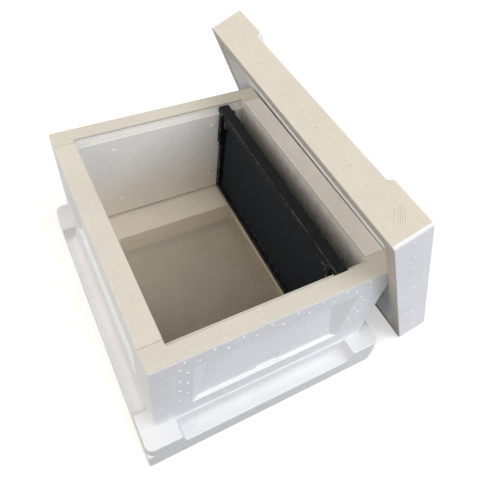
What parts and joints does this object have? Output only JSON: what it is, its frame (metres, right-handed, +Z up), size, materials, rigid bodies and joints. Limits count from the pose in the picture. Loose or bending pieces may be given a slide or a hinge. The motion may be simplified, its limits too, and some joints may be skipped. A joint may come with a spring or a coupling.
{
  "type": "beehive",
  "caption": "White moulded foam beehive: mesh floor with raised corners, finger-jointed brood box with wedge hand holds, a hanging comb frame and a thick roof leaning at its side.",
  "frame": {"origin": "middle of the whole set's footprint on the ground, the leaning roof included", "axes": "+X to the right along the front wall, towards the leaning roof; +Y to the back; +Z up"},
  "size_m": [0.6896, 0.6378, 0.4989],
  "materials": {
    "floor_foam": "expanded polystyrene, fused bead skin",
    "wall_foam": "expanded polystyrene, fused bead skin",
    "roof_foam": "expanded polystyrene, fused bead skin",
    "mesh_wire": "woven galvanised wire",
    "frame_plastic": "moulded black plastic",
    "foundation_plastic": "black plastic with a pressed cell pattern"
  },
  "bodies": {
    "floor": {"floor_tray": "floor_foam", "floor_mesh": "mesh_wire"},
    "brood_box": {"front_wall": "wall_foam", "back_wall": "wall_foam", "left_wall": "wall_foam", "right_wall": "wall_foam"},
    "comb_frame": {"frame_top_bar": "frame_plastic", "frame_far_bar": "frame_plastic", "frame_near_bar": "frame_plastic", "frame_bottom_bar": "frame_plastic", "foundation_sheet": "foundation_plastic"},
    "roof": {"roof_shell": "roof_foam"}
  },
  "joints": [
    {"name": "box_lift", "type": "slide", "parent": "floor", "child": "brood_box", "axis": [0, 0, 1], "range_m": [0, 0.3]},
    {"name": "frame_lift", "type": "slide", "parent": "brood_box", "child": "comb_frame", "axis": [-0.4297, 0, 0.903], "range_m": [0, 0.27]},
    {"name": "roof_lift", "type": "slide", "parent": "brood_box", "child": "roof", "axis": [0.9029, -0.0071, 0.4297], "range_m": [0, 0.3]}
  ]
}
